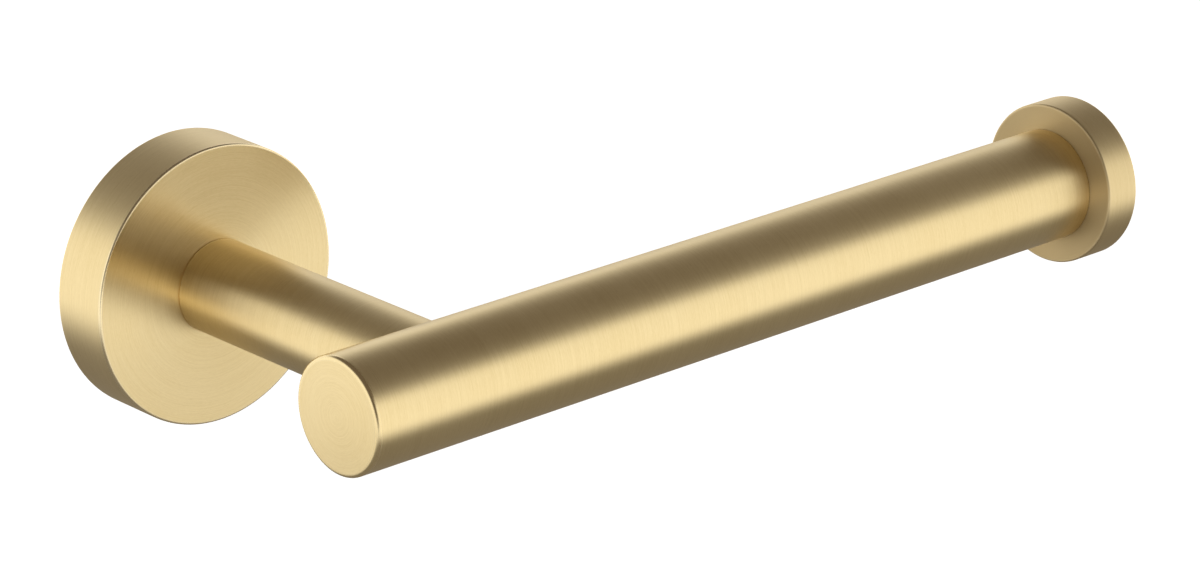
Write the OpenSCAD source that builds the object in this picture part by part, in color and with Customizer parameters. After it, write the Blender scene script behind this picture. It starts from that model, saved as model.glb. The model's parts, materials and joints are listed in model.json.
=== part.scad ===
// Toilet paper holder: a round wall rosette, a post that stands out from it, and an open
// roll bar across the post with a round stop at its far end.
//
// Frame, in millimetres: the origin is the middle of the rosette on the wall's surface.
// The wall is the plane y = 0, the holder stands out towards -Y, the bar runs along X
// with its stop at the +X end, and +Z is up.

/* [Rosette] */
// Diameter of the rosette
rosette_d = 54; // [50:1:70]
// Depth of the rosette, from the wall to its face
rosette_depth = 12.5; // [10:0.5:18]
// Thickness of the rosette's face
rosette_face = 3; // [2:0.5:3.5]
// Thickness of the rosette's rim, which the set screw is threaded through
rosette_rim = 3.2; // [2.4:0.2:4]
// Bevel along the visible edges of the rosette, the bar and the stop
edge_bevel = 0.4; // [0.2:0.1:0.8]

/* [Wall bracket] */
// Gap all round between the bracket and the inside of the rosette's rim, before the rosette hangs on it
bracket_gap = 0.6; // [0.3:0.1:1]
// Thickness of the bracket's plate
bracket_plate = 2; // [1.5:0.5:2.5]
// Thickness of the bracket's upstanding rim
bracket_rim = 2; // [1.5:0.5:2.5]
// Gap between the bracket's rim and the back of the rosette's face
bracket_front_gap = 0.5; // [0.3:0.1:1]
// Distance between the middles of the two screw slots
slot_spacing = 26; // [24:1:30]
// Width of each screw slot
slot_width = 4.5; // [4:0.1:5.4]
// Length of each screw slot, end to end
slot_length = 8; // [7:0.5:9]
// Gap all round between the tie screw's head and the hole in the bracket
head_gap = 1; // [0.6:0.2:1.4]

/* [Set screw] */
// Thread diameter of the set screw
set_screw_d = 4; // [3.5:0.5:5]
// Thread pitch of the set screw
set_screw_pitch = 0.7; // [0.5:0.05:0.8]
// Distance from the bracket's front edge to the set screw's axis
set_screw_inset = 3; // [2.6:0.2:4]
// How far the set screw sits below the rim's surface when it is tight
set_screw_recess = 0.3; // [0.1:0.05:0.5]
// Hexagon socket of the set screw, across its flats
set_screw_key = 2; // [1.5:0.5:2.5]
// Depth of the set screw's socket
set_screw_key_depth = 1.6; // [1:0.2:2]
// Gap between the tight set screw's tip and the bracket's rim
set_screw_tip_gap = 0.05; // [0.05:0.05:0.1]

/* [Post] */
// Diameter of the post
post_d = 18; // [16:1:21]
// Distance from the wall to the front of the bar
projection = 88; // [70:1:110]

/* [Bar] */
// Diameter of the bar
bar_d = 22; // [19:1:27]
// Wall thickness of the bar's tube
bar_wall = 1.5; // [1:0.25:2]
// Length of the bar from the post's axis to its near end
bar_near = 25; // [21:1:40]
// Length of the bar from the post's axis to the stop
bar_far = 157; // [125:1:190]
// Thickness of the near end cap's flange
cap_flange = 1.2; // [1:0.1:2]
// Length of the near end cap's spigot inside the tube
cap_spigot = 6; // [4:0.5:7]
// Length of the anchor plug inside the tube, which the tie screw pulls on
anchor_len = 24; // [16:1:26]

/* [End stop] */
// Diameter of the end stop
stop_d = 32; // [28:1:38]
// Thickness of the end stop
stop_t = 8; // [7:0.5:12]
// Length of the threaded insert inside the tube's far end
insert_len = 14; // [11:1:20]
// Thread diameter of the stud between the insert and the stop
stud_d = 6; // [5:1:8]
// Thread pitch of the stud
stud_pitch = 1; // [0.8:0.05:1.25]
// Length of the stud inside the stop
stud_in_stop = 5.5; // [4:0.5:6]
// Length of the stud inside the insert
stud_in_insert = 10.5; // [7:0.5:12]
// Hexagon socket in the stud's inner end, across its flats
stud_key = 3; // [2:0.5:4]
// Depth of the stud's socket
stud_key_depth = 3; // [2:0.5:4]

/* [Tie screw] */
// Thread diameter of the long screw that ties the rosette, the post and the bar together
tie_d = 6; // [5:1:6]
// Thread pitch of the tie screw
tie_pitch = 1; // [0.8:0.05:1]
// Length of the tie screw's thread
tie_thread_len = 22; // [16:1:30]
// Diameter of the tie screw's head
tie_head_d = 10.5; // [9.5:0.5:11]
// Height of the tie screw's head
tie_head_h = 3.3; // [2.7:0.1:3.4]
// Hexagon socket of the tie screw, across its flats
tie_key = 4; // [3:0.5:4]
// Depth of the tie screw's socket
tie_key_depth = 2.1; // [1.6:0.1:2.2]
// Diameter of the flat washer
washer_d = 12; // [11:0.5:13]
// Thickness of the flat washer
washer_t = 1.6; // [1:0.1:1.6]
// Diameter of the split lock washer
lock_washer_d = 11.6; // [10.5:0.1:12]
// Thickness of the split lock washer
lock_washer_t = 1.6; // [1.2:0.1:1.6]
// Width of the lock washer's split
lock_washer_split = 1; // [0.6:0.1:1.4]

/* [Dowel] */
// Diameter of the pin that stops the post from turning on the rosette
dowel_d = 3; // [2:0.5:3]
// Length of the dowel inside the post
dowel_in_post = 5; // [4:0.5:8]
// Distance from the post's axis to the dowel's axis
dowel_offset = 5.8; // [5.5:0.1:6]

/* [Clearances] */
// Radial gap of a plug, spigot or dowel in its hole
slip_gap = 0.03; // [0.02:0.01:0.05]
// Radial gap between a thread's crests and its tapped hole
thread_gap = 0.04; // [0.03:0.01:0.06]
// Radial gap of a screw in a plain hole
bolt_gap = 0.25; // [0.2:0.05:0.4]
// Gap between the top of the bracket and the rosette that hangs on it
seat_gap = 0.05; // [0.03:0.01:0.08]

/* [Hidden] */
$fn = 96;

GOLD = [0.80, 0.66, 0.42];
STEEL = [0.72, 0.73, 0.74];
ZINC = [0.62, 0.64, 0.66];

// Extra length of a cut past the surface that it leaves through
OVERCUT = 1;
// Depth of an ISO metric thread, as a share of its pitch
THREAD_DEPTH = 0.6134;
// Small bevel on hidden edges
HIDDEN_BEVEL = 0.3;
// Clear length past the end of a screw or pin in its blind hole
HOLE_RUNOUT = 1;
// Screws come in lengths that are multiples of this
SCREW_STEP = 5;

rosette_r = rosette_d / 2;
cavity_r = rosette_r - rosette_rim;
cavity_depth = rosette_depth - rosette_face;
bracket_r = cavity_r - bracket_gap;
bracket_depth = cavity_depth - bracket_front_gap;
bracket_rise = bracket_gap - seat_gap;

set_screw_r = set_screw_d / 2;
set_screw_from_wall = bracket_depth - set_screw_inset;
set_screw_tip = bracket_r - bracket_rise + set_screw_tip_gap;
set_screw_len = rosette_r - set_screw_recess - set_screw_tip;

bar_r = bar_d / 2;
bore_r = bar_r - bar_wall;
plug_r = bore_r - slip_gap;
bar_depth = projection - bar_r;

tie_r = tie_d / 2;
tie_seat = cavity_depth - washer_t - lock_washer_t;
tie_len = SCREW_STEP * floor((bar_depth - tie_seat) / SCREW_STEP);
tie_tip = tie_seat + tie_len;

stud_r = stud_d / 2;

// Places what is drawn along +Z so that it runs out from the wall: its z is the distance from the wall.
module out_from_wall() {
    rotate([90, 0, 0]) children();
}

// Places what is drawn along +Z so that it runs along the bar's axis: its z is the row's x.
module along_bar() {
    translate([0, -bar_depth, 0]) rotate([0, 90, 0]) children();
}

// Places what is drawn along +Z so that it runs inwards from the tight set screw's outer end.
module up_set_screw() {
    translate([0, -set_screw_from_wall, set_screw_recess - rosette_r]) children();
}

// A disc or plug with a bevel along each end's edge.
module bevelled_disc(r, h, low_bevel, high_bevel) {
    rotate_extrude()
        polygon([[0, 0], [r - low_bevel, 0], [r, low_bevel],
            [r, h - high_bevel], [r - high_bevel, h], [0, h]]);
}

// A flat ring.
module ring(outer_r, inner_r, h) {
    difference() {
        cylinder(r = outer_r, h = h);
        translate([0, 0, -OVERCUT]) cylinder(r = inner_r, h = h + 2 * OVERCUT);
    }
}

// A hexagon socket of this width across its flats.
module hex_socket(flats, depth) {
    cylinder(d = flats / cos(30), h = depth, $fn = 6);
}

// The outline of a thread from z = from to z = to, as [radius, z] points.
function thread_outline(r, pitch, from, to) =
    let (
        crest = r - thread_gap,
        root = r - THREAD_DEPTH * pitch,
        turns = floor((to - from) / pitch),
        start = to - turns * pitch
    )
    [for (i = [0 : turns - 1], p = [[root, 0], [root, 1 / 4], [crest, 9 / 16], [crest, 11 / 16]])
        [p[0], start + (i + p[1]) * pitch]];

// The cup-shaped plate that is screwed to the wall. The rosette hangs on its rim, so it sits a little higher.
module wall_bracket() {
    color(ZINC) translate([0, 0, bracket_rise]) out_from_wall() difference() {
        rotate_extrude()
            polygon([[0, 0], [bracket_r, 0],
                [bracket_r, bracket_depth - HIDDEN_BEVEL], [bracket_r - HIDDEN_BEVEL, bracket_depth],
                [bracket_r - bracket_rim, bracket_depth], [bracket_r - bracket_rim, bracket_plate],
                [0, bracket_plate]]);
        translate([0, 0, -OVERCUT])
            cylinder(r = tie_head_d / 2 + head_gap, h = bracket_plate + 2 * OVERCUT);
        for (side = [-1, 1]) screw_slot(side * slot_spacing / 2);
    }
}

// A slot for one wall screw, lying along X.
module screw_slot(x) {
    reach = (slot_length - slot_width) / 2;
    translate([x, 0, -OVERCUT]) {
        for (end = [-1, 1])
            translate([end * reach, 0, 0])
                cylinder(d = slot_width, h = bracket_plate + 2 * OVERCUT);
        translate([-reach, -slot_width / 2, 0])
            cube([2 * reach, slot_width, bracket_plate + 2 * OVERCUT]);
    }
}

// The round cover against the wall, open at its back.
module rosette() {
    color(GOLD) difference() {
        out_from_wall() difference() {
            rotate_extrude()
                polygon([[0, cavity_depth], [cavity_r, cavity_depth],
                    [cavity_r, 0], [rosette_r - HIDDEN_BEVEL, 0], [rosette_r, HIDDEN_BEVEL],
                    [rosette_r, rosette_depth - edge_bevel], [rosette_r - edge_bevel, rosette_depth],
                    [0, rosette_depth]]);
            translate([0, 0, cavity_depth - OVERCUT])
                cylinder(r = tie_r + bolt_gap, h = rosette_face + 2 * OVERCUT);
            translate([0, dowel_offset, cavity_depth - OVERCUT])
                cylinder(r = dowel_d / 2 + slip_gap, h = rosette_face + 2 * OVERCUT);
        }
        translate([0, -set_screw_from_wall, -rosette_r - OVERCUT])
            cylinder(r = set_screw_r, h = rosette_rim + 2 * OVERCUT);
    }
}

// The headless screw under the rosette that grips the bracket. Its cup point faces up.
module set_screw() {
    root = set_screw_r - THREAD_DEPTH * set_screw_pitch;
    point_r = root - HIDDEN_BEVEL;
    color(STEEL) up_set_screw() difference() {
        rotate_extrude()
            polygon(concat([[0, 0], [root - HIDDEN_BEVEL, 0], [root, HIDDEN_BEVEL]],
                thread_outline(set_screw_r, set_screw_pitch, HIDDEN_BEVEL,
                    set_screw_len - HIDDEN_BEVEL),
                [[root, set_screw_len - HIDDEN_BEVEL], [point_r, set_screw_len],
                    [point_r / 2, set_screw_len], [0, set_screw_len - point_r / 2]]));
        translate([0, 0, -OVERCUT]) hex_socket(set_screw_key, set_screw_key_depth + OVERCUT);
    }
}

// The solid round post. Its front end is coped to sit on the bar.
module post() {
    color(GOLD) difference() {
        out_from_wall() difference() {
            translate([0, 0, rosette_depth])
                cylinder(d = post_d, h = bar_depth - rosette_depth);
            cylinder(r = tie_r + bolt_gap, h = projection);
            translate([0, dowel_offset, 0])
                cylinder(r = dowel_d / 2 + slip_gap, h = rosette_depth + dowel_in_post + HOLE_RUNOUT);
        }
        along_bar() cylinder(r = bar_r, h = 2 * post_d, center = true);
    }
}

// The pin that keys the post to the rosette's face.
module dowel_pin() {
    color(STEEL) out_from_wall() translate([0, dowel_offset, cavity_depth])
        bevelled_disc(dowel_d / 2, rosette_face + dowel_in_post, HIDDEN_BEVEL, HIDDEN_BEVEL);
}

// The flat washer against the back of the rosette's face.
module flat_washer() {
    color(STEEL) out_from_wall() translate([0, 0, cavity_depth - washer_t])
        ring(washer_d / 2, tie_r + bolt_gap, washer_t);
}

// The split washer under the tie screw's head.
module lock_washer() {
    color(STEEL) out_from_wall() translate([0, 0, tie_seat]) difference() {
        ring(lock_washer_d / 2, tie_r + bolt_gap, lock_washer_t);
        translate([0, -lock_washer_split / 2, -OVERCUT])
            cube([lock_washer_d, lock_washer_split, lock_washer_t + 2 * OVERCUT]);
    }
}

// The outline of the tie screw's domed head, from its middle to its edge, as [radius, z] points.
function dome_outline(r, h) =
    let (flat_r = r * 0.45, steps = 6)
    [for (i = [0 : steps])
        [flat_r + (r - flat_r) * sin(90 * i / steps), -h * cos(90 * i / steps)]];

// The long screw through the rosette and the post into the anchor plug.
module tie_screw() {
    root = tie_r - THREAD_DEPTH * tie_pitch;
    shank_r = tie_r - thread_gap;
    color(STEEL) out_from_wall() translate([0, 0, tie_seat]) difference() {
        rotate_extrude()
            polygon(concat([[0, -tie_head_h]], dome_outline(tie_head_d / 2, tie_head_h),
                [[shank_r, 0], [shank_r, tie_len - tie_thread_len]],
                thread_outline(tie_r, tie_pitch, tie_len - tie_thread_len, tie_len - HIDDEN_BEVEL),
                [[root, tie_len - HIDDEN_BEVEL], [root - HIDDEN_BEVEL, tie_len], [0, tie_len]]));
        translate([0, 0, -tie_head_h - OVERCUT]) hex_socket(tie_key, tie_key_depth + OVERCUT);
    }
}

// The tube that the roll hangs on.
module bar_tube() {
    color(GOLD) difference() {
        along_bar() translate([0, 0, cap_flange - bar_near])
            ring(bar_r, bore_r, bar_near + bar_far - cap_flange);
        out_from_wall() cylinder(r = tie_r + bolt_gap, h = bar_depth);
    }
}

// The plug inside the tube that the tie screw is threaded into.
module anchor_plug() {
    color(STEEL) difference() {
        along_bar() translate([0, 0, -anchor_len / 2])
            bevelled_disc(plug_r, anchor_len, HIDDEN_BEVEL, HIDDEN_BEVEL);
        out_from_wall() cylinder(r = tie_r, h = tie_tip + HOLE_RUNOUT);
    }
}

// The flush cap that closes the tube's near end.
module near_end_cap() {
    color(GOLD) along_bar() translate([0, 0, -bar_near])
        rotate_extrude()
            polygon([[0, 0], [bar_r - edge_bevel, 0], [bar_r, edge_bevel],
                [bar_r, cap_flange], [plug_r, cap_flange],
                [plug_r, cap_flange + cap_spigot - HIDDEN_BEVEL],
                [plug_r - HIDDEN_BEVEL, cap_flange + cap_spigot], [0, cap_flange + cap_spigot]]);
}

// The threaded plug inside the tube's far end.
module stop_insert() {
    color(STEEL) along_bar() translate([0, 0, bar_far - insert_len]) difference() {
        bevelled_disc(plug_r, insert_len, HIDDEN_BEVEL, HIDDEN_BEVEL);
        translate([0, 0, -OVERCUT]) cylinder(r = stud_r, h = insert_len + 2 * OVERCUT);
    }
}

// The stud that joins the insert and the stop.
module stop_stud() {
    root = stud_r - THREAD_DEPTH * stud_pitch;
    stud_len = stud_in_insert + stud_in_stop;
    color(STEEL) along_bar() translate([0, 0, bar_far - stud_in_insert]) difference() {
        rotate_extrude()
            polygon(concat([[0, 0], [root - HIDDEN_BEVEL, 0], [root, HIDDEN_BEVEL]],
                thread_outline(stud_r, stud_pitch, HIDDEN_BEVEL, stud_len - HIDDEN_BEVEL),
                [[root, stud_len - HIDDEN_BEVEL], [root - HIDDEN_BEVEL, stud_len], [0, stud_len]]));
        translate([0, 0, -OVERCUT]) hex_socket(stud_key, stud_key_depth + OVERCUT);
    }
}

// The round stop at the bar's far end.
module end_stop() {
    color(GOLD) along_bar() translate([0, 0, bar_far]) difference() {
        bevelled_disc(stop_d / 2, stop_t, edge_bevel, edge_bevel);
        translate([0, 0, -OVERCUT]) cylinder(r = stud_r, h = stud_in_stop + HOLE_RUNOUT + OVERCUT);
    }
}

wall_bracket();
rosette();
set_screw();
post();
dowel_pin();
flat_washer();
lock_washer();
tie_screw();
bar_tube();
anchor_plug();
near_end_cap();
stop_insert();
stop_stud();
end_stop();
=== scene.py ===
"""The looks of the toilet paper holder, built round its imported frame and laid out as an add-on."""

import json
import math
from collections import namedtuple

import bmesh
import bpy
from bpy.props import FloatProperty, FloatVectorProperty, IntProperty, PointerProperty
from mathutils import Euler, Matrix, Vector


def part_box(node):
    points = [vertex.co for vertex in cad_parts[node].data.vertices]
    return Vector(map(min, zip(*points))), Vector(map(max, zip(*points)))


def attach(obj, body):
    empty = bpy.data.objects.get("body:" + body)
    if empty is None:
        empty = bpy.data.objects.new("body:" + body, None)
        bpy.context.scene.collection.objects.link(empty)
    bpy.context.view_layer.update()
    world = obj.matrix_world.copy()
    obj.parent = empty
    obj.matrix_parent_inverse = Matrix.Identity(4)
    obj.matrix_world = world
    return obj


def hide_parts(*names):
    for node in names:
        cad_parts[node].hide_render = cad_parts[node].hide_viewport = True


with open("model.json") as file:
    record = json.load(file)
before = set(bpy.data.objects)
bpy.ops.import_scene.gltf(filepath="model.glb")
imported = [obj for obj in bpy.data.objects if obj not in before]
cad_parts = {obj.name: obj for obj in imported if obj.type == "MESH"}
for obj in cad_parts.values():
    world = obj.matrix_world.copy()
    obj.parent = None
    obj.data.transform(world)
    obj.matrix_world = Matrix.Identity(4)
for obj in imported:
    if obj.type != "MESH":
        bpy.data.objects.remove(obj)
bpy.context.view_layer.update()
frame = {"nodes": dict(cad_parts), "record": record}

bl_info = {
    "name": "Toilet paper holder",
    "version": (1, 0, 0),
    "blender": (4, 5, 0),
    "location": "3D View > Sidebar > Holder",
    "description": "Builds an open-arm toilet paper holder in brushed gold on its studio floor",
    "category": "Object",
}

MM = 0.001
CAMERA_SIDE = (-0.636, -0.686, 0.354)
FAR_SIDE = (0.636, 0.686, -0.354)
HIDDEN_NODES = ("dowel_pin", "anchor_plug", "stop_insert")

THREAD_GAP = 0.04 * MM
SLIP_GAP = 0.03 * MM
THREAD_DEPTH = 0.6134
SHARP_ANGLE = math.radians(32)
QUARTER_TURN = math.radians(90)


# ---------------------------------------------------------------- places and sizes from the frame


def span(node, axis):
    """(lowest, highest) of a CAD node along an axis, 0 to 2, in metres."""
    low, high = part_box(node)
    return low[axis], high[axis]


def out_from_wall(node):
    """(nearest, farthest) distance of a CAD node from the wall, in metres."""
    low, high = span(node, 1)
    return -high, -low


def half_width(node, axis):
    low, high = span(node, axis)
    return (high - low) / 2


def middle(node, axis):
    low, high = span(node, axis)
    return (high + low) / 2


BAR_DEPTH = -middle("bar_tube", 1)
BAR_FROM, BAR_TO = span("bar_tube", 0)
ROSETTE_DEPTH = out_from_wall("rosette")[1]
CAVITY_DEPTH = out_from_wall("flat_washer")[1]
TIE_SEAT = out_from_wall("lock_washer")[0]
SET_SCREW_DEPTH = -middle("set_screw", 1)
BRACKET_RISE = middle("wall_bracket", 2)

# From a turned piece's own frame, where +Z is its turning axis, to the row's frame.
OUT_FROM_WALL = Matrix.Rotation(QUARTER_TURN, 4, "X")
ALONG_BAR = Matrix.Translation((0, -BAR_DEPTH, 0)) @ Matrix.Rotation(QUARTER_TURN, 4, "Y")


# ---------------------------------------------------------------- settings


def length(name, description, default, low=0.0, high=1.0):
    """A size in metres for a PropertyGroup."""
    return FloatProperty(
        name=name, description=description, default=default, min=low, max=high, unit="LENGTH", precision=5
    )


def share(name, description, default, low=0.0, high=1.0):
    """A plain number for a PropertyGroup."""
    return FloatProperty(name=name, description=description, default=default, min=low, max=high, precision=4)


def angle(name, description, degrees):
    """An angle for a PropertyGroup."""
    return FloatProperty(name=name, description=description, default=math.radians(degrees), subtype="ANGLE")


def colour(name, description, default):
    """A colour for a PropertyGroup."""
    return FloatVectorProperty(
        name=name, description=description, default=default, min=0, max=1, size=3, subtype="COLOR"
    )


class HolderSizes(bpy.types.PropertyGroup):
    """The sizes that the CAD boxes don't give."""

    edge_radius: length("Edge radius", "Broken edge of the rosette and the stop", 0.4 * MM)
    joint_edge: length("Joint edge", "Broken edge where one gold piece meets another", 0.25 * MM)
    cap_edge: length("Cap edge", "Rounded edge of the near end cap", 0.7 * MM)
    cap_crown: length("Cap crown", "How far the near end cap swells in its middle", 0.25 * MM)
    rim_wall: length("Rim wall", "Thickness of the rosette's rim", 3.2 * MM)
    cavity_fillet: length("Cavity fillet", "Round corner at the floor of the rosette's cavity", 0.6 * MM)
    back_edge: length("Back edge", "Broken edge of the rosette against the wall", 0.3 * MM)
    bracket_plate: length("Bracket plate", "Thickness of the bracket's plate", 2 * MM)
    bracket_rim: length("Bracket rim", "Thickness of the bracket's rim", 2 * MM)
    bracket_fold: length("Bracket fold", "Round corner between the bracket's plate and rim", 1.2 * MM)
    bracket_hole: length("Bracket hole", "Radius of the bracket's middle hole", 6.25 * MM)
    slot_spacing: length("Slot spacing", "Distance between the two slots' middles", 26 * MM)
    slot_width: length("Slot width", "Width of a slot", 4.5 * MM)
    slot_length: length("Slot length", "Length of a slot, end to end", 8 * MM)
    bolt_hole: length("Bolt hole", "Radius of the hole round the tie screw", 3.25 * MM)
    dowel_offset: length("Dowel offset", "Distance of the dowel from the post's axis", 5.8 * MM)
    tube_wall: length("Tube wall", "Wall thickness of the bar's tube", 1.5 * MM)
    stop_hole: length("Stop hole", "Depth of the tapped hole in the stop", 6.5 * MM)
    fine_pitch: length("Fine pitch", "Thread pitch of the set screw", 0.7 * MM)
    coarse_pitch: length("Coarse pitch", "Thread pitch of the tie screw and the stud", 1 * MM)
    tie_width: length("Tie screw width", "Nominal diameter of the tie screw", 6 * MM)
    tie_thread: length("Tie screw thread", "Length of the tie screw's thread", 22 * MM)
    set_screw_key: length("Set screw key", "Hexagon socket of the set screw, across flats", 2 * MM)
    tie_key: length("Tie screw key", "Hexagon socket of the tie screw, across flats", 4 * MM)
    stud_key: length("Stud key", "Hexagon socket of the stud, across flats", 3 * MM)
    washer_edge: length("Washer edge", "Round edges of the washers", 0.25 * MM)
    washer_gap: length("Washer gap", "Width of the lock washer's slit", 1 * MM)
    washer_slant: angle("Washer slant", "Slant of the lock washer's slit", 20)
    round_steps: IntProperty(
        name="Steps round", description="Faces round a large turned piece", default=192, min=24, max=384
    )
    small_steps: IntProperty(
        name="Small steps", description="Faces round a washer, a large hole or the floor",
        default=96, min=24, max=192,
    )


class FinishSettings(bpy.types.PropertyGroup):
    """Colours and surface of the metals."""

    gold: colour("Gold", "Plated gold", (0.88, 0.71, 0.39))
    gold_shade: colour("Gold shade", "Plated gold in its darker streaks", (0.76, 0.59, 0.29))
    gold_edge: colour("Gold edge", "Plated gold rubbed bright on the edges", (0.92, 0.79, 0.52))
    # Darker gold on the stop's face towards the roll: painted shade for the lesser light on that face, on
    # top of its matt finish.
    gold_matt_painted_shade: colour("Matt gold", "Plated gold on the matt face of the stop", (0.60, 0.46, 0.24))
    gold_roughness: share("Gold roughness", "How satin the gold is", 0.32)
    gold_brushing: share("Gold brushing", "How far the brushing stretches reflections", 0.82)
    cap_brushing: share("Cap brushing", "The same on the near end cap, which is smoother", 0.25)
    brush_depth: length("Brush depth", "Height of the brushed lines", 0.013 * MM)
    rubbed_shine: share("Rubbed shine", "How bright the sharp edges are rubbed", 0.6)
    soft_shine: share("Soft shine", "How bright the softer edges of the cap and the stop are", 0.1)
    matt_roughness: share("Matt roughness", "How much rougher the matt face is", 0.20)
    # Share of the matt finish and of the painted shade that the stop's rim gets next to its matt face.
    matt_rim_and_shade: share("Matt rim", "How matt the stop's rim is next to its matt face", 0.30)
    steel: colour("Steel", "Stainless fasteners", (0.56, 0.56, 0.57))
    steel_roughness: share("Steel roughness", "How dull the fasteners are", 0.26)
    steel_brushing: share("Steel brushing", "How far turning stretches their reflections", 0.3)
    zinc: colour("Zinc", "Zinc-plated bracket", (0.52, 0.55, 0.58))
    zinc_tint: colour("Zinc tint", "Faint yellow and blue of the plating", (0.56, 0.53, 0.45))
    zinc_spot: colour("Zinc spots", "Dull spots in the plating", (0.36, 0.37, 0.38))
    zinc_edge: colour("Zinc edge", "Plating rubbed bright on the edges", (0.72, 0.73, 0.74))
    zinc_roughness: share("Zinc roughness", "How dull the plating is", 0.42)
    brass: colour("Brass", "Bare brass", (0.78, 0.58, 0.27))
    brass_roughness: share("Brass roughness", "How dull the brass is", 0.28)


class StageSettings(bpy.types.PropertyGroup):
    """Floor, light and camera."""

    floor_colour: colour("Floor", "Pale floor and backdrop", (0.93, 0.93, 0.925))
    floor_glow: share("Floor glow", "Light that the floor itself gives off", 0.75)
    floor_drop: length("Floor drop", "Height of the holder's axis above the floor", 3.0, 0.05, 5)
    floor_radius: length("Floor radius", "Radius of the flat floor", 4.0, 1, 20)
    floor_sweep: length("Floor sweep", "Radius of the curve from floor to backdrop", 2.5, 0.5, 10)
    camera_azimuth: angle("Camera azimuth", "Direction the camera stands in", -42.87)
    camera_elevation: angle("Camera elevation", "Camera height as an angle", 20.71)
    camera_roll: angle("Camera roll", "Tilt of the camera", 0.34)
    camera_distance: length("Camera distance", "From the camera to what it looks at", 0.8528, 0.1, 5)
    camera_aim: FloatVectorProperty(
        name="Camera aim", description="Point that the camera looks at", default=(0.0501, -0.0626, 0.0),
        size=3, subtype="TRANSLATION",
    )
    lens: FloatProperty(
        name="Lens", description="Focal length in millimetres", default=138.74, min=10, max=400
    )
    light_level: share("Light level", "Brightness of the studio light", 1.21, 0, 10)
    bright_light: colour("Bright light", "Light of the lit wall round the holder", (1.0, 1.0, 1.0))
    dim_above: colour("Dim above", "Light of the dim room above the lit wall", (0.12, 0.10, 0.085))
    dim_below: colour("Dim below", "Light of the dim room below the lit wall", (0.20, 0.185, 0.17))
    dim_blend: share("Dim blend", "How far from level the two dim lights meet, as a sine", 0.3)
    wall_top: share("Wall top", "Where the lit wall ends above, as the sine of its elevation", 0.48, -1)
    wall_bottom: share("Wall bottom", "Where the lit wall ends below, as the same sine", -0.48, -1)
    wall_softness: share("Wall softness", "How softly the lit wall ends", 0.18)
    front_edge: share("Front edge", "Where the light starts to fall off towards the camera's side", 0.66)
    front_core: share("Front core", "Where the camera's side is quite dark", 0.97)
    back_edge: share("Back edge", "Where the light starts to fall off behind the holder", 0.80)
    back_level: share("Back level", "Brightness straight behind the holder", 0.05)


def sizes():
    return bpy.context.scene.holder_sizes


def finish_settings():
    return bpy.context.scene.holder_finish


def stage_settings():
    return bpy.context.scene.holder_stage


# ---------------------------------------------------------------- shader graphs


# One layer of noise: waves a millimetre round and across the brushed lines, its detail, its roughness,
# and its share where several layers are added up.
Layer = namedtuple("Layer", "around across detail roughness share", defaults=(1.0,))

GOLD_STREAKS = (
    Layer(0.10, 9.0, 3.0, 0.7, 0.45),
    Layer(0.04, 2.6, 2.0, 0.6, 0.25),
    Layer(1.1, 6.0, 2.0, 0.6, 0.30),
)
GOLD_CLOUD = Layer(0.06, 0.06, 2.0, 0.5)
STEEL_LINE = Layer(0.3, 9.0, 2.0, 0.6)
STEEL_CLOUD = Layer(0.5, 0.5, 2.0, 0.5)
ZINC_CLOUD = Layer(0.13, 0.13, 3.0, 0.6)
ZINC_GRAIN = Layer(2.6, 2.6, 2.0, 0.6)
ZINC_SPOTS = Layer(0.7, 0.7, 3.0, 0.7)
BRASS_LINE = Layer(0.3, 7.0, 2.0, 0.6)
FLOOR_CLOUD = Layer(0.003, 0.003, 3.0, 0.5)


class Wire:
    """One output socket of a node. Plain maths on it adds Math nodes."""

    def __init__(self, graph, socket):
        self.graph = graph
        self.socket = socket

    def maths(self, operation, *values):
        return self.graph.node("ShaderNodeMath", {"operation": operation}, dict(enumerate(values)))

    def __add__(self, other):
        return self.maths("ADD", self, other)

    def __radd__(self, other):
        return self.maths("ADD", other, self)

    def __sub__(self, other):
        return self.maths("SUBTRACT", self, other)

    def __rsub__(self, other):
        return self.maths("SUBTRACT", other, self)

    def __mul__(self, other):
        return self.maths("MULTIPLY", self, other)

    def __rmul__(self, other):
        return self.maths("MULTIPLY", other, self)

    def __pow__(self, other):
        return self.maths("POWER", self, other)

    def __rpow__(self, other):
        return self.maths("POWER", other, self)


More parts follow.
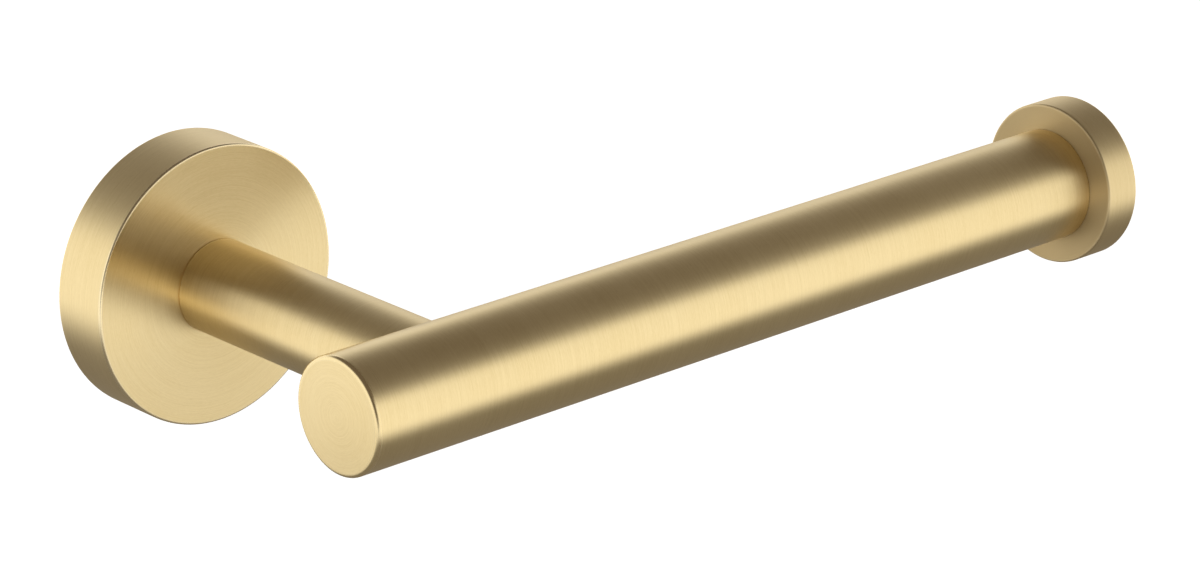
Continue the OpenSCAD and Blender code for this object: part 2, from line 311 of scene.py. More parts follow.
class Graph:
    """A node tree that is filled with one call a node."""

    def __init__(self, tree):
        self.tree = tree
        tree.nodes.clear()

    def node(self, kind, settings=None, inputs=None, output=0):
        """Adds a node, sets its settings, then its sockets' values or links, and returns one output."""
        made = self.tree.nodes.new(kind)
        for key, value in (settings or {}).items():
            setattr(made, key, value)
        for key, value in (inputs or {}).items():
            socket = made.inputs[key]
            if isinstance(value, Wire):
                self.tree.links.new(value.socket, socket)
            else:
                socket.default_value = value
        return Wire(self, made.outputs[output]) if made.outputs else None

    def axes(self, vector):
        """The three numbers of a vector."""
        parts = self.node("ShaderNodeSeparateXYZ", {}, {0: vector})
        return [Wire(self, socket) for socket in parts.socket.node.outputs]

    def millimetres(self):
        """The place on the piece, in its own frame."""
        place_on_piece = self.node("ShaderNodeTexCoord", output="Object")
        return [axis * (1 / MM) for axis in self.axes(place_on_piece)]

    def turned_place(self):
        """The place on a piece turned about its own Z.

        Its last number grows across the brushed lines, along the side and over the faces alike.
        """
        x, y, z = self.millimetres()
        radius = (x * x + y * y) ** 0.5
        return x, y, z + radius

    def worn_edge(self):
        """1 on the piece's rubbed edges, 0 elsewhere."""
        return self.node("ShaderNodeAttribute", {"attribute_name": "edge"}, output="Fac")

    def along(self, vector, direction):
        """How far a direction vector points along another, from -1 to 1."""
        settings = {"operation": "DOT_PRODUCT"}
        return self.node("ShaderNodeVectorMath", settings, {0: vector, 1: direction}, output="Value")

    def noise(self, place_on_piece, layer):
        """Noise stretched along the lines that run round the piece's Z axis."""
        x, y, across = place_on_piece
        return self.noise_at(x * layer.around, y * layer.around, across * layer.across, layer)

    def noise_at(self, x, y, z, layer):
        """Noise at a place whose numbers are already stretched."""
        spot = self.node("ShaderNodeCombineXYZ", {}, {0: x, 1: y, 2: z})
        inputs = {"Vector": spot, "Scale": 1.0, "Detail": layer.detail, "Roughness": layer.roughness}
        return self.node("ShaderNodeTexNoise", {"noise_dimensions": "3D"}, inputs)

    def mixture(self, place_on_piece, layers):
        """Layers of noise added up by their shares."""
        first, *others = [self.noise(place_on_piece, layer) * layer.share for layer in layers]
        return sum(others, first)

    def blend(self, factor, first, second):
        """One colour fading into another."""
        return self.node("ShaderNodeMix", {"data_type": "RGBA"}, {0: factor, 6: first, 7: second}, output=2)

    def remap(self, value, low, high, to_low=0.0, to_high=1.0):
        """A value from low to high, stretched to a new range and held at its ends."""
        settings = {"interpolation_type": "SMOOTHSTEP"}
        inputs = {0: value, 1: low, 2: high, 3: to_low, 4: to_high}
        return self.node("ShaderNodeMapRange", settings, inputs)


def opaque(shade):
    return (*shade, 1)


def darker(shade, level):
    return tuple(level * part for part in shade)


def swing(noise, amount):
    """Noise from 0 to 1 turned into a value that swings about 0."""
    return (noise - 0.5) * amount


def new_material(name):
    material = bpy.data.materials.new(name)
    material.use_nodes = True
    return material, Graph(material.node_tree)


def metal(graph, tone, roughness, brushing, height, depth):
    """Ends a material's graph with a metal surface, brushed round the piece's own Z axis."""
    normal = graph.node("ShaderNodeBump", {}, {"Height": height, "Distance": depth, "Strength": 1.0})
    inputs = {
        "Base Color": tone,
        "Metallic": 1.0,
        "Roughness": roughness,
        "Anisotropic": brushing,
        "Anisotropic Rotation": 0.25,
        "Normal": normal,
    }
    surface = graph.node("ShaderNodeBsdfPrincipled", {}, inputs)
    graph.node("ShaderNodeOutputMaterial", {}, {"Surface": surface})


def gold_plating(name, brushing, edge_shine, find_matt_and_shade=None):
    """Satin gold plating over fine lines that run round the piece, rougher where it is matt, and darker
    there with painted shade.
    """
    look = finish_settings()
    material, graph = new_material(name)
    spot = graph.turned_place()
    streak = graph.mixture(spot, GOLD_STREAKS)
    cloud = graph.noise(spot, GOLD_CLOUD)
    worn = graph.worn_edge()
    tone_low, tone_high = 0.31, 0.66
    streak_swing, cloud_swing, worn_polish = 0.16, 0.08, 0.08
    shade = graph.remap(streak * 0.8 + cloud * 0.2, tone_low, tone_high)
    tone = graph.blend(shade, opaque(look.gold_shade), opaque(look.gold))
    roughness = look.gold_roughness + swing(streak, streak_swing) + swing(cloud, cloud_swing)
    roughness = roughness - worn * worn_polish
    if find_matt_and_shade:
        # The matt mask makes the gold rougher, which is its finish, and darker in colour, which is painted
        # shade.
        matt = find_matt_and_shade(graph)
        tone = graph.blend(matt, tone, opaque(look.gold_matt_painted_shade))
        roughness = roughness + matt * look.matt_roughness
    tone = graph.blend(worn * edge_shine, tone, opaque(look.gold_edge))
    metal(graph, tone, roughness, brushing, streak, look.brush_depth)
    return material


def brushed_gold():
    """The plating of the rosette, the post and the bar."""
    look = finish_settings()
    return gold_plating("satin_gold_plating", look.gold_brushing, look.rubbed_shine)


def cap_gold():
    """The plating of the near end cap, whose edge is rounded and not rubbed bright."""
    look = finish_settings()
    return gold_plating("cap_gold_plating", look.cap_brushing, look.soft_shine)


def stop_gold():
    """The plating of the stop, whose face towards the roll is matt and darkened with painted shade."""
    look = finish_settings()
    face = span("end_stop", 0)[0] / MM

    # Mask of the stop's face towards the roll, less on its rim: a rougher matt finish there, and painted
    # shade in its colour.
    def matt_and_shaded_face(graph):
        along_bar = graph.millimetres()[2]
        return graph.remap(along_bar, face + 0.1, face + 0.5, 1.0, look.matt_rim_and_shade)

    return gold_plating("matt_shaded_gold_plating", look.gold_brushing, look.soft_shine, matt_and_shaded_face)


def stainless_steel():
    """Stainless steel of the fasteners, faintly turned."""
    look = finish_settings()
    material, graph = new_material("turned_stainless")
    spot = graph.turned_place()
    line = graph.noise(spot, STEEL_LINE)
    cloud = graph.noise(spot, STEEL_CLOUD)
    line_depth, line_swing, dark_level = 0.002 * MM, 0.16, 0.72
    shade = graph.remap(line * 0.5 + cloud * 0.5, 0.3, 0.7)
    tone = graph.blend(shade, opaque(darker(look.steel, dark_level)), opaque(look.steel))
    metal(graph, tone, look.steel_roughness + swing(line, line_swing), look.steel_brushing, line, line_depth)
    return material


def plated_steel():
    """Dull zinc plating with faint coloured clouds over pressed steel."""
    look = finish_settings()
    material, graph = new_material("zinc_plating")
    spot = graph.millimetres()
    cloud = graph.noise(spot, ZINC_CLOUD)
    grain = graph.noise(spot, ZINC_GRAIN)
    spots = graph.noise(spot, ZINC_SPOTS)
    worn = graph.worn_edge()
    tone = graph.blend(graph.remap(cloud, 0.35, 0.65), opaque(look.zinc), opaque(look.zinc_tint))
    spot_strength, worn_shine = 0.35, 0.6
    spot_swing, worn_polish, grain_depth = 0.25, 0.12, 0.02 * MM
    tone = graph.blend(graph.remap(spots, 0.55, 0.8) * spot_strength, tone, opaque(look.zinc_spot))
    tone = graph.blend(worn * worn_shine, tone, opaque(look.zinc_edge))
    roughness = look.zinc_roughness + swing(spots, spot_swing) - worn * worn_polish
    metal(graph, tone, roughness, 0.0, grain * 0.6 + spots * 0.4, grain_depth)
    return material


def turned_brass():
    """Turned brass of the plugs inside the tube, whose turning axis is the row's X."""
    look = finish_settings()
    material, graph = new_material("bare_brass")
    x, y, z = graph.millimetres()
    line = graph.noise_at(x * BRASS_LINE.across, y * BRASS_LINE.around, z * BRASS_LINE.around, BRASS_LINE)
    line_depth, line_swing, dark_level = 0.004 * MM, 0.15, 0.75
    dark = opaque(darker(look.brass, dark_level))
    tone = graph.blend(graph.remap(line, 0.3, 0.7), dark, opaque(look.brass))
    metal(graph, tone, look.brass_roughness + swing(line, line_swing), 0.0, line, line_depth)
    return material


MAKERS = {
    "brushed_gold": brushed_gold,
    "cap_gold": cap_gold,
    "stop_gold": stop_gold,
    "stainless_steel": stainless_steel,
    "plated_steel": plated_steel,
    "turned_brass": turned_brass,
}
MADE = {}


def metal_for(name):
    """A metal from MAKERS, made the first time that it is asked for."""
    if name not in MADE:
        MADE[name] = MAKERS[name]()
    return MADE[name]


# ---------------------------------------------------------------- turned pieces


# One ring of points round Z. Wear is 1 on a rubbed edge, and reach is how far a slot's ends are drawn out.
Ring = namedtuple("Ring", "radius height wear shape reach", defaults=(0.0, "round", 0.0))


def ring_point(ring, step, steps):
    """A point of a ring: on a circle, on a hexagon across its flats, or on a slot along X."""
    radius = ring.radius
    turn = math.tau * step / steps
    if ring.shape == "slot":
        turn += math.pi / steps
    if ring.shape == "hex":
        sector = math.tau / 6
        radius /= math.cos(turn % sector - sector / 2)
    x = radius * math.cos(turn)
    y = radius * math.sin(turn)
    if ring.shape == "slot":
        x += math.copysign(ring.reach, x)
    return x, y, ring.height


class Turned:
    """A mesh built up from rings of points round Z."""

    def __init__(self, steps):
        self.steps = steps
        self.shapes = bmesh.new()
        self.wear_layer = self.shapes.verts.layers.float.new("edge")
        self.rings = []

    def add(self, *rings):
        """Adds rings, each of which is one point where its radius is 0."""
        for ring in rings:
            count = self.steps if ring.radius > 0 else 1
            self.add_points([ring_point(ring, step, self.steps) for step in range(count)], ring.wear)

    def add_points(self, points, wear=0.0):
        verts = [self.shapes.verts.new(point) for point in points]
        for vert in verts:
            vert[self.wear_layer] = wear
        self.rings.append(verts)

    def bridge(self, low, high):
        for step in range(self.steps):
            after = (step + 1) % self.steps
            ends = [(low, step), (low, after), (high, after), (high, step)]
            corners = list(dict.fromkeys(ring[place % len(ring)] for ring, place in ends))
            if len(corners) > 2:
                self.shapes.faces.new(corners)

    def mesh(self, name, closed=False, capped=False):
        """The finished mesh. Closed joins the last ring to the first, and capped fills both."""
        for low, high in zip(self.rings, self.rings[1:]):
            self.bridge(low, high)
        if closed:
            self.bridge(self.rings[-1], self.rings[0])
        if capped:
            self.shapes.faces.new(self.rings[0])
            self.shapes.faces.new(self.rings[-1])
        bmesh.ops.recalc_face_normals(self.shapes, faces=self.shapes.faces)
        mesh = bpy.data.meshes.new(name)
        self.shapes.to_mesh(mesh)
        self.shapes.free()
        return mesh


def lathe(name, rings, steps, closed=False):
    """A mesh turned about Z through a list of rings."""
    turned = Turned(steps)
    turned.add(*rings)
    return turned.mesh(name, closed)


def fillet(before, corner, after, radius, steps=6):
    """The rings of a round corner, with a holding ring a little outside each end of its arc."""
    here = Vector(corner)
    back = (Vector(before) - here).normalized()
    on = (Vector(after) - here).normalized()
    half = back.angle(on) / 2
    reach = radius / math.tan(half)
    centre = here + (back + on).normalized() * radius / math.sin(half)
    start = here + back * reach - centre
    end = here + on * reach - centre
    turn = -start.angle_signed(end)
    hold = radius * 0.35
    rings = [Ring(*(centre + start + back * hold))]
    for step in range(steps + 1):
        spun = Matrix.Rotation(turn * step / steps, 2) @ start
        rings.append(Ring(*(centre + spun), 1.0))
    rings.append(Ring(*(centre + end + on * hold)))
    return rings


def outline(corners, closed=False):
    """Corners as (radius, height) or (radius, height, fillet radius), in metres, turned into rings."""
    rings = []
    last = len(corners) - 1
    for index, (radius, height, *rounding) in enumerate(corners):
        if not rounding or (not closed and index in (0, last)):
            rings.append(Ring(radius, height))
            continue
        before = corners[index - 1][:2]
        after = corners[(index + 1) % len(corners)][:2]
        rings += fillet(before, (radius, height), after, *rounding)
    return rings


def place(name, mesh, matrix):
    """Puts a mesh in the scene at its place in the row frame, smooth but for its true corners."""
    mesh.shade_smooth()
    mesh.set_sharp_from_angle(angle=SHARP_ANGLE)
    piece = bpy.data.objects.new(name, mesh)
    bpy.context.scene.collection.objects.link(piece)
    piece.matrix_world = matrix
    return piece


def dress(piece, slot, body, *nodes, metal_name=None):
    """Gives a piece its metal, its body and the CAD nodes that it stands for."""
    piece.data.materials.clear()
    piece.data.materials.append(metal_for(metal_name or slot))
    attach(piece, body)
    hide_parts(*nodes)


def cut(piece, cutters):
    """Cuts solids out of a piece and throws the solids away."""
    for cutter in cutters:
        change = piece.modifiers.new("cut", "BOOLEAN")
        change.operation = "DIFFERENCE"
        change.solver = "EXACT"
        change.object = cutter
    evaluated = piece.evaluated_get(bpy.context.evaluated_depsgraph_get())
    mesh = bpy.data.meshes.new_from_object(evaluated)
    old = piece.data
    piece.modifiers.clear()
    piece.data = mesh
    bpy.data.meshes.remove(old)
    for cutter in cutters:
        bpy.data.objects.remove(cutter)
    mesh.shade_smooth()
    mesh.set_sharp_from_angle(angle=SHARP_ANGLE)


def hole_cutter(radius, low, high, matrix, shape="round", reach=0.0, flare=0.3 * MM, steps=64):
    """A solid for cutting a hole whose two mouths are slightly countersunk."""
    beyond = 2 * MM
    profile = [
        (radius + flare, low - beyond),
        (radius + flare, low),
        (radius, low + flare),
        (radius, high - flare),
        (radius + flare, high),
        (radius + flare, high + beyond),
    ]
    sides = [Ring(wide, height, 0.0, shape, reach) for wide, height in profile]
    rings = [Ring(0, low - beyond), *sides, Ring(0, high + beyond)]
    return place("cutter", lathe("cutter", rings, steps), matrix)


def hex_socket(top, key, depth, tip, chamfer=0.0, wear=0.0):
    """The rings of a hexagon socket from its drilled tip up to its mouth. Key is across flats."""
    rings = [Ring(0, top + depth + tip), Ring(key / 2, top + depth, 0.0, "hex")]
    rings.append(Ring(key / 2, top + chamfer, 0.0, "hex"))
    if chamfer:
        rings.append(Ring(key / 2 + chamfer, top, wear, "hex"))
    return rings


def root_radius(radius, pitch):
    return radius - THREAD_DEPTH * pitch


def thread_radius(radius, pitch, height, around, ceiling):
    """Radius of a helical thread at a height, where around is the share of a turn."""
    flank, root_flat = 0.44, 0.08
    phase = (height / pitch - around) % 1.0
    ridge = min(1.0, max(0.0, (0.5 - abs(phase - 0.5)) / flank - root_flat))
    return min(root_radius(radius, pitch) + THREAD_DEPTH * pitch * ridge, ceiling)


def threaded(name, radius, pitch, low, high, start, end, steps=48, bevel=0.4 * MM):
    """A rod with a helical thread from low to high, between the rings of its two ends."""
    rings_a_pitch = 10
    depth = THREAD_DEPTH * pitch
    count = math.ceil((high - low) / pitch * rings_a_pitch)
    rod = Turned(steps)
    rod.add(*start)
    for index in range(count + 1):
        height = low + (high - low) * index / count
        near_end = min(height - low, high - height)
        ceiling = radius - depth + depth * min(1.0, near_end / bevel)
        points = []
        for step in range(steps):
            here = thread_radius(radius, pitch, height, step / steps, ceiling)
            points.append(ring_point(Ring(here, height), step, steps))
        rod.add_points(points)
    rod.add(*end)
    return rod.mesh(name)


# ---------------------------------------------------------------- the holder's pieces


class HOLDER_OT_rosette(bpy.types.Operator):
    """Turns the round wall cover, with its cavity and its tapped hole underneath"""

    bl_idname = "holder.rosette"
    bl_label = "Rosette"

    def execute(self, context):
        size = sizes()
        radius = half_width("rosette", 0)
        cavity = radius - size.rim_wall
        mouth_edge = 0.25 * MM
        bolt_edge = 0.1 * MM
        corners = [
            (size.bolt_hole, CAVITY_DEPTH),
            (cavity, CAVITY_DEPTH, size.cavity_fillet),
            (cavity, 0, mouth_edge),
            (radius, 0, size.back_edge),
            (radius, ROSETTE_DEPTH, size.edge_radius),
            (size.bolt_hole, ROSETTE_DEPTH, bolt_edge),
        ]
        mesh = lathe("rosette", outline(corners, True), size.round_steps, closed=True)
        piece = place("rosette_shell", mesh, OUT_FROM_WALL)
        cut(piece, [self.screw_hole(radius, cavity), self.dowel_hole(size)])
        dress(piece, "brushed_gold", "holder", "rosette")
        return {"FINISHED"}

    def screw_hole(self, radius, cavity):
        downwards = Matrix.Translation((0, -SET_SCREW_DEPTH, 0)) @ Matrix.Rotation(math.pi, 4, "X")
        wide = half_width("set_screw", 0) + THREAD_GAP
        return hole_cutter(wide, cavity - 0.3 * MM, radius - 0.02 * MM, downwards)

    def dowel_hole(self, size):
        spot = Matrix.Translation((0, 0, size.dowel_offset)) @ OUT_FROM_WALL
        wide = half_width("dowel_pin", 0) + SLIP_GAP
        return hole_cutter(wide, CAVITY_DEPTH, ROSETTE_DEPTH, spot, flare=0.1 * MM)


class HOLDER_OT_post(bpy.types.Operator):
    """Turns the post and copes its front end to the bar"""

    bl_idname = "holder.post"
    bl_label = "Post"

    def execute(self, context):
        size = sizes()
        radius = half_width("post", 0)
        bevel = size.joint_edge
        straight_from = ROSETTE_DEPTH + 4 * bevel
        post = Turned(size.round_steps)
        post.add(
            Ring(radius * 0.4, ROSETTE_DEPTH),
            Ring(radius - bevel, ROSETTE_DEPTH, 0.5),
            Ring(radius, ROSETTE_DEPTH + bevel, 0.5),
            Ring(radius, straight_from),
        )
        quarters = (0.25, 0.5, 0.75)
        for part in (*quarters, 1.0):
            post.add_points(self.coped(radius, straight_from, part, size.round_steps))
        for part in reversed(quarters):
            post.add_points(self.coped(part * radius, straight_from, 1.0, size.round_steps))
        piece = place("post_rod", post.mesh("post", capped=True), OUT_FROM_WALL)
        dress(piece, "brushed_gold", "holder", "post")
        return {"FINISHED"}

    def coped(self, radius, low, part, steps):
        """A ring whose points have gone a part of the way from a flat ring to the bar's surface."""
        bar = half_width("bar_tube", 2)
        points = []
        for step in range(steps):
            x, y, flat = ring_point(Ring(radius, low), step, steps)
            saddle = BAR_DEPTH - math.sqrt(bar**2 - y**2)
            points.append((x, y, flat + (saddle - flat) * part))
        return points


class HOLDER_OT_bar(bpy.types.Operator):
    """Turns the bar's tube and the crowned cap in its near end"""

    bl_idname = "holder.bar"
    bl_label = "Bar and near end cap"

    def execute(self, context):
        size = sizes()
        radius = half_width("bar_tube", 2)
        bore = radius - size.tube_wall
        self.tube(size, radius, bore)
        self.cap(size, radius, bore)
        return {"FINISHED"}

    def tube(self, size, radius, bore):
        corners = [(bore, BAR_FROM), (radius, BAR_FROM), (radius, BAR_TO, size.joint_edge), (bore, BAR_TO)]
        mesh = lathe("bar_tube", outline(corners, True), size.round_steps, closed=True)
        piece = place("bar_tube_turned", mesh, ALONG_BAR)
        dress(piece, "brushed_gold", "holder", "bar_tube")

    def cap(self, size, radius, bore):
        cap_from, cap_to = span("near_end_cap", 0)
        spigot = bore - SLIP_GAP
        crown_steps = 8
        crown = []
        for step in range(crown_steps):
            part = step / crown_steps
            crown.append((radius * part, cap_from + size.cap_crown * part**2))
        corners = [
            *crown,
            (radius, cap_from + size.cap_crown, size.cap_edge),
            (radius, BAR_FROM),
            (spigot, BAR_FROM),
            (spigot, cap_to, 0.3 * MM),
            (0, cap_to),
        ]
        mesh = lathe("near_end_cap", outline(corners), size.round_steps)
        piece = place("near_end_cap_turned", mesh, ALONG_BAR)
        dress(piece, "brushed_gold", "holder", "near_end_cap", metal_name="cap_gold")


class HOLDER_OT_end_stop(bpy.types.Operator):
    """Turns the round stop and the stud that holds it on the bar"""

    bl_idname = "holder.end_stop"
    bl_label = "End stop and stud"

    def execute(self, context):
        size = sizes()
        stud_radius = half_width("stop_stud", 2)
        self.stop(size, stud_radius + THREAD_GAP)
        self.stud(size, stud_radius)
        return {"FINISHED"}

    def stop(self, size, hole):
        radius = half_width("end_stop", 2)
        low, high = span("end_stop", 0)
        corners = [
            (0, low + size.stop_hole),
            (hole, low + size.stop_hole),
            (hole, low, 0.3 * MM),
            (radius, low, size.edge_radius),
            (radius, high, size.edge_radius),
            (0, high),
        ]
        mesh = lathe("end_stop", outline(corners), size.round_steps)
        piece = place("end_stop_turned", mesh, ALONG_BAR)
        dress(piece, "brushed_gold", "holder", "end_stop", metal_name="stop_gold")

    def stud(self, size, radius):
        low, high = span("stop_stud", 0)
        pitch = size.coarse_pitch
        edge = 0.1 * MM
        face = root_radius(radius, pitch) - edge
        start = [*hex_socket(low, size.stud_key, 3 * MM, 0.6 * MM), Ring(face, low, 0.5)]
        end = [Ring(face, high, 0.5), Ring(0, high)]
        mesh = threaded("stud", radius, pitch, low + edge, high - edge, start, end)
        piece = place("stop_stud_threaded", mesh, ALONG_BAR)
        dress(piece, "stainless_steel", "holder", "stop_stud")


class HOLDER_OT_bracket(bpy.types.Operator):
    """Presses the cup-shaped wall bracket with its two slots"""

    bl_idname = "holder.bracket"
    bl_label = "Wall bracket"

    def execute(self, context):
        size = sizes()
        radius = half_width("wall_bracket", 0)
        depth = out_from_wall("wall_bracket")[1]
        inner = radius - size.bracket_rim
        plate = size.bracket_plate
        rim_edge = 0.4 * MM
        corners = [
            (0, 0),
            (radius, 0, 0.5 * MM),
            (radius, depth, rim_edge),
            (inner, depth, rim_edge),
            (inner, plate, size.bracket_fold),
            (0, plate),
        ]
        at = Matrix.Translation((0, 0, BRACKET_RISE)) @ OUT_FROM_WALL
        piece = place("wall_bracket_cup", lathe("wall_bracket", outline(corners), size.round_steps), at)
        cutters = [hole_cutter(size.bracket_hole, 0, plate, at, steps=size.small_steps)]
        reach = (size.slot_length - size.slot_width) / 2
        for side in (-1, 1):
            spot = Matrix.Translation((side * size.slot_spacing / 2, 0, 0)) @ at
            cutters.append(hole_cutter(size.slot_width / 2, 0, plate, spot, "slot", reach))
        cut(piece, cutters)
        dress(piece, "plated_steel", "wall_bracket", "wall_bracket")
        return {"FINISHED"}


class HOLDER_OT_fasteners(bpy.types.Operator):
    """Makes the set screw, the tie screw and its two washers"""

    bl_idname = "holder.fasteners"
    bl_label = "Screws and washers"

    def execute(self, context):
        size = sizes()
        self.set_screw(size)
        self.tie_screw(size)
        self.washer(size, "flat_washer", "flat_washer_pressed")
        self.washer(size, "lock_washer", "lock_washer_split", self.slit)
        return {"FINISHED"}

    def set_screw(self, size):
        low, high = span("set_screw", 2)
        tall = high - low
        radius = half_width("set_screw", 0)
        root = root_radius(radius, size.fine_pitch)
        point_edge = 0.3 * MM
        start = [*hex_socket(0, size.set_screw_key, 1.6 * MM, 0.3 * MM, 0.12 * MM, 0.4), Ring(root, 0, 0.5)]
        end = [Ring(root - point_edge, tall, 0.5), Ring(root * 0.55, tall, 0.3), Ring(0, tall - 0.5 * MM)]
        mesh = threaded("set_screw", radius, size.fine_pitch, 0.05 * MM, tall - point_edge, start, end)
        piece = place("set_screw_threaded", mesh, Matrix.Translation((0, -SET_SCREW_DEPTH, low)))
        dress(piece, "stainless_steel", "set_screw", "set_screw")

    def tie_screw(self, size):
        head = half_width("tie_screw", 0)
        head_top, tip = out_from_wall("tie_screw")
        shank = size.tie_width / 2 - THREAD_GAP
        threads_from = tip - size.tie_thread
        start = [
            *hex_socket(head_top, size.tie_key, 2.1 * MM, 0.4 * MM, 0.2 * MM, 0.5),
            *self.dome(head, head_top),
            Ring(shank, TIE_SEAT),
            Ring(shank, threads_from - 0.2 * MM),
        ]
        end = [Ring(shank - 0.9 * MM, tip, 0.5), Ring(0, tip)]
        pitch = size.coarse_pitch
        mesh = threaded("tie_screw", shank, pitch, threads_from, tip - 0.3 * MM, start, end, steps=60)
        piece = place("tie_screw_threaded", mesh, OUT_FROM_WALL)
        dress(piece, "stainless_steel", "holder", "tie_screw")

    def dome(self, head, top, steps=10):
        """The rings of a button head from its flat top down to its seat."""
        flat = head * 0.45
        rings = []
        for step in range(steps + 1):
            turn = QUARTER_TURN * step / steps
            wide = flat + (head - flat) * math.sin(turn)
            rings.append(Ring(wide, TIE_SEAT - (TIE_SEAT - top) * math.cos(turn)))
        return rings

    def washer(self, size, node, name, make_slit=None):
        low, high = out_from_wall(node)
        radius = half_width(node, 0)
        bore, soft = size.bolt_hole, size.washer_edge
        corners = [(bore, low, soft), (radius, low, soft), (radius, high, soft), (bore, high, soft)]
        mesh = lathe(node, outline(corners, True), size.small_steps, closed=True)
        piece = place(name, mesh, OUT_FROM_WALL)
        if make_slit:
            cut(piece, [make_slit(size, radius, (low + high) / 2)])
        dress(piece, "stainless_steel", "holder", node)

    def slit(self, size, radius, height):
        """A slanted block for cutting through one side of the lock washer."""
        mesh = bpy.data.meshes.new("gap")
        shapes = bmesh.new()
        widths = Matrix.Diagonal((radius * 2, size.washer_gap, 6 * MM, 1))
        bmesh.ops.create_cube(shapes, size=1.0, matrix=widths)
        shapes.to_mesh(mesh)
        shapes.free()
        slant = Matrix.Rotation(size.washer_slant, 4, "X")
        return place("cutter", mesh, OUT_FROM_WALL @ Matrix.Translation((radius, 0, height)) @ slant)


class HOLDER_OT_inner_pieces(bpy.types.Operator):
    """Gives the dowel and the plugs inside the tube their metals"""

    bl_idname = "holder.inner_pieces"
    bl_label = "Dowel and plugs"

    def execute(self, context):
        slots = {part["node"]: part["material_slot"] for part in frame["record"]["subparts"]}
        for node in HIDDEN_NODES:
            for material_slot in frame["nodes"][node].material_slots:
                material_slot.material = metal_for(slots[node])
        return {"FINISHED"}


# ---------------------------------------------------------------- floor, light and camera


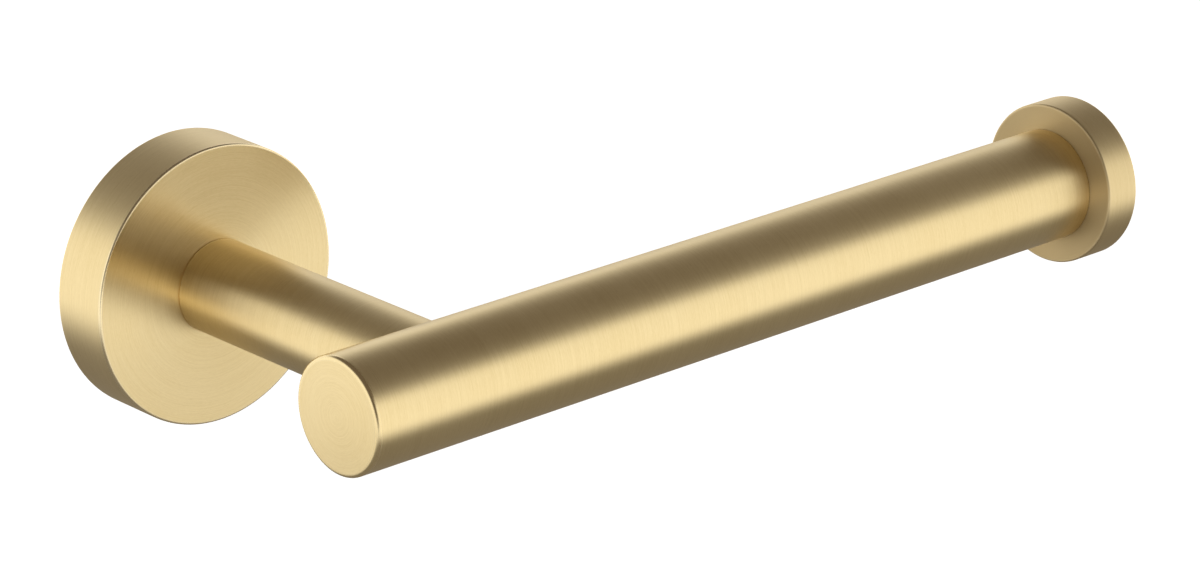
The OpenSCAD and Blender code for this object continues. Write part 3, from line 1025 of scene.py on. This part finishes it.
class HOLDER_OT_stage(bpy.types.Operator):
    """Makes the pale floor, the soft studio light and the camera"""

    bl_idname = "holder.stage"
    bl_label = "Floor, light and camera"

    def execute(self, context):
        stage = stage_settings()
        self.floor(stage)
        self.sky(stage)
        self.camera(stage)
        return {"FINISHED"}

    def floor(self, stage):
        """A pale room, closed all round, that only the camera sees."""
        rings = [Ring(0, -stage.floor_drop), *self.sweeps(stage), Ring(0, stage.floor_drop)]
        floor = place("studio_floor", lathe("studio_floor", rings, sizes().small_steps), Matrix())
        floor.data.flip_normals()
        material, graph = new_material("pale_floor")
        grain = graph.noise(graph.millimetres(), FLOOR_CLOUD)
        tone = graph.blend(grain, opaque(darker(stage.floor_colour, 0.985)), opaque(stage.floor_colour))
        inputs = {
            "Base Color": tone,
            "Roughness": 0.9,
            "Emission Color": (1, 1, 1, 1),
            "Emission Strength": stage.floor_glow,
        }
        surface = graph.node("ShaderNodeBsdfPrincipled", {}, inputs)
        graph.node("ShaderNodeOutputMaterial", {}, {"Surface": surface})
        floor.data.materials.append(material)
        floor.visible_glossy = False
        floor.visible_diffuse = False
        floor.visible_shadow = False

    def sweeps(self, stage, steps=12):
        """The rings of the two curves, from the floor into the wall and from the wall into the ceiling."""
        radius, sweep, high = stage.floor_radius, stage.floor_sweep, stage.floor_drop
        turns = [QUARTER_TURN * step / steps for step in range(steps + 1)]
        rings = []
        for turn in turns:
            rings.append(Ring(radius + sweep * math.sin(turn), -high + sweep * (1 - math.cos(turn))))
        for turn in turns:
            rings.append(Ring(radius + sweep * math.cos(turn), high - sweep * (1 - math.sin(turn))))
        return rings

    def sky(self, stage):
        """Soft light from a lit wall all round, dimmer above, below, behind and on the camera's side."""
        world = bpy.data.worlds.new("studio")
        world.use_nodes = True
        scene = bpy.context.scene
        scene.world = world
        scene.view_settings.view_transform = "Standard"
        graph = Graph(world.node_tree)
        way = graph.node("ShaderNodeTexCoord", output="Generated")
        height = graph.axes(way)[2]
        top, bottom, soft = stage.wall_top, stage.wall_bottom, stage.wall_softness
        below_top = graph.remap(height, top - soft, top + soft, 1.0, 0.0)
        above_bottom = graph.remap(height, bottom - soft, bottom + soft)
        front = graph.remap(graph.along(way, CAMERA_SIDE), stage.front_edge, stage.front_core, 1.0, 0.0)
        back = graph.remap(graph.along(way, FAR_SIDE), stage.back_edge, 1.0, 1.0, stage.back_level)
        level = below_top * above_bottom * front * back
        rise = graph.remap(height, -stage.dim_blend, stage.dim_blend)
        dim = graph.blend(rise, opaque(stage.dim_below), opaque(stage.dim_above))
        shade = graph.blend(level, dim, opaque(stage.bright_light))
        light = graph.node("ShaderNodeBackground", {}, {"Color": shade, "Strength": stage.light_level})
        graph.node("ShaderNodeOutputWorld", {}, {"Surface": light})

    def camera(self, stage):
        data = bpy.data.cameras.new("camera")
        camera = bpy.data.objects.new("camera", data)
        bpy.context.scene.collection.objects.link(camera)
        azimuth, elevation = stage.camera_azimuth, stage.camera_elevation
        level = math.cos(elevation)
        back = Vector((math.sin(azimuth) * level, -math.cos(azimuth) * level, math.sin(elevation)))
        spot = Vector(stage.camera_aim) + back * stage.camera_distance
        look = Euler((QUARTER_TURN - elevation, 0, azimuth)).to_matrix().to_4x4()
        roll = Matrix.Rotation(stage.camera_roll, 4, "Z")
        camera.matrix_world = Matrix.Translation(spot) @ look @ roll
        data.lens = stage.lens
        data.clip_start = 0.01
        data.clip_end = 50
        bpy.context.scene.camera = camera


# ---------------------------------------------------------------- the add-on


STEPS = (
    HOLDER_OT_rosette,
    HOLDER_OT_post,
    HOLDER_OT_bar,
    HOLDER_OT_end_stop,
    HOLDER_OT_bracket,
    HOLDER_OT_fasteners,
    HOLDER_OT_inner_pieces,
    HOLDER_OT_stage,
)


class HOLDER_PT_panel(bpy.types.Panel):
    """Lists the holder's sizes and the steps that build it"""

    bl_idname = "HOLDER_PT_panel"
    bl_label = "Toilet paper holder"
    bl_space_type = "VIEW_3D"
    bl_region_type = "UI"
    bl_category = "Holder"

    def draw(self, context):
        layout = self.layout
        for step in STEPS:
            layout.operator(step.bl_idname)
        for group in (sizes(), finish_settings(), stage_settings()):
            box = layout.box()
            for name in group.__annotations__:
                box.prop(group, name)


GROUPS = {"holder_sizes": HolderSizes, "holder_finish": FinishSettings, "holder_stage": StageSettings}


def register():
    for name, group in GROUPS.items():
        bpy.utils.register_class(group)
        setattr(bpy.types.Scene, name, PointerProperty(type=group))
    for step in STEPS:
        bpy.utils.register_class(step)
    bpy.utils.register_class(HOLDER_PT_panel)


def unregister():
    bpy.utils.unregister_class(HOLDER_PT_panel)
    for step in reversed(STEPS):
        bpy.utils.unregister_class(step)
    for name, group in GROUPS.items():
        delattr(bpy.types.Scene, name)
        bpy.utils.unregister_class(group)


def main():
    register()
    bpy.ops.holder.rosette()
    bpy.ops.holder.post()
    bpy.ops.holder.bar()
    bpy.ops.holder.end_stop()
    bpy.ops.holder.bracket()
    bpy.ops.holder.fasteners()
    bpy.ops.holder.inner_pieces()
    bpy.ops.holder.stage()


if __name__ == "__main__":
    main()
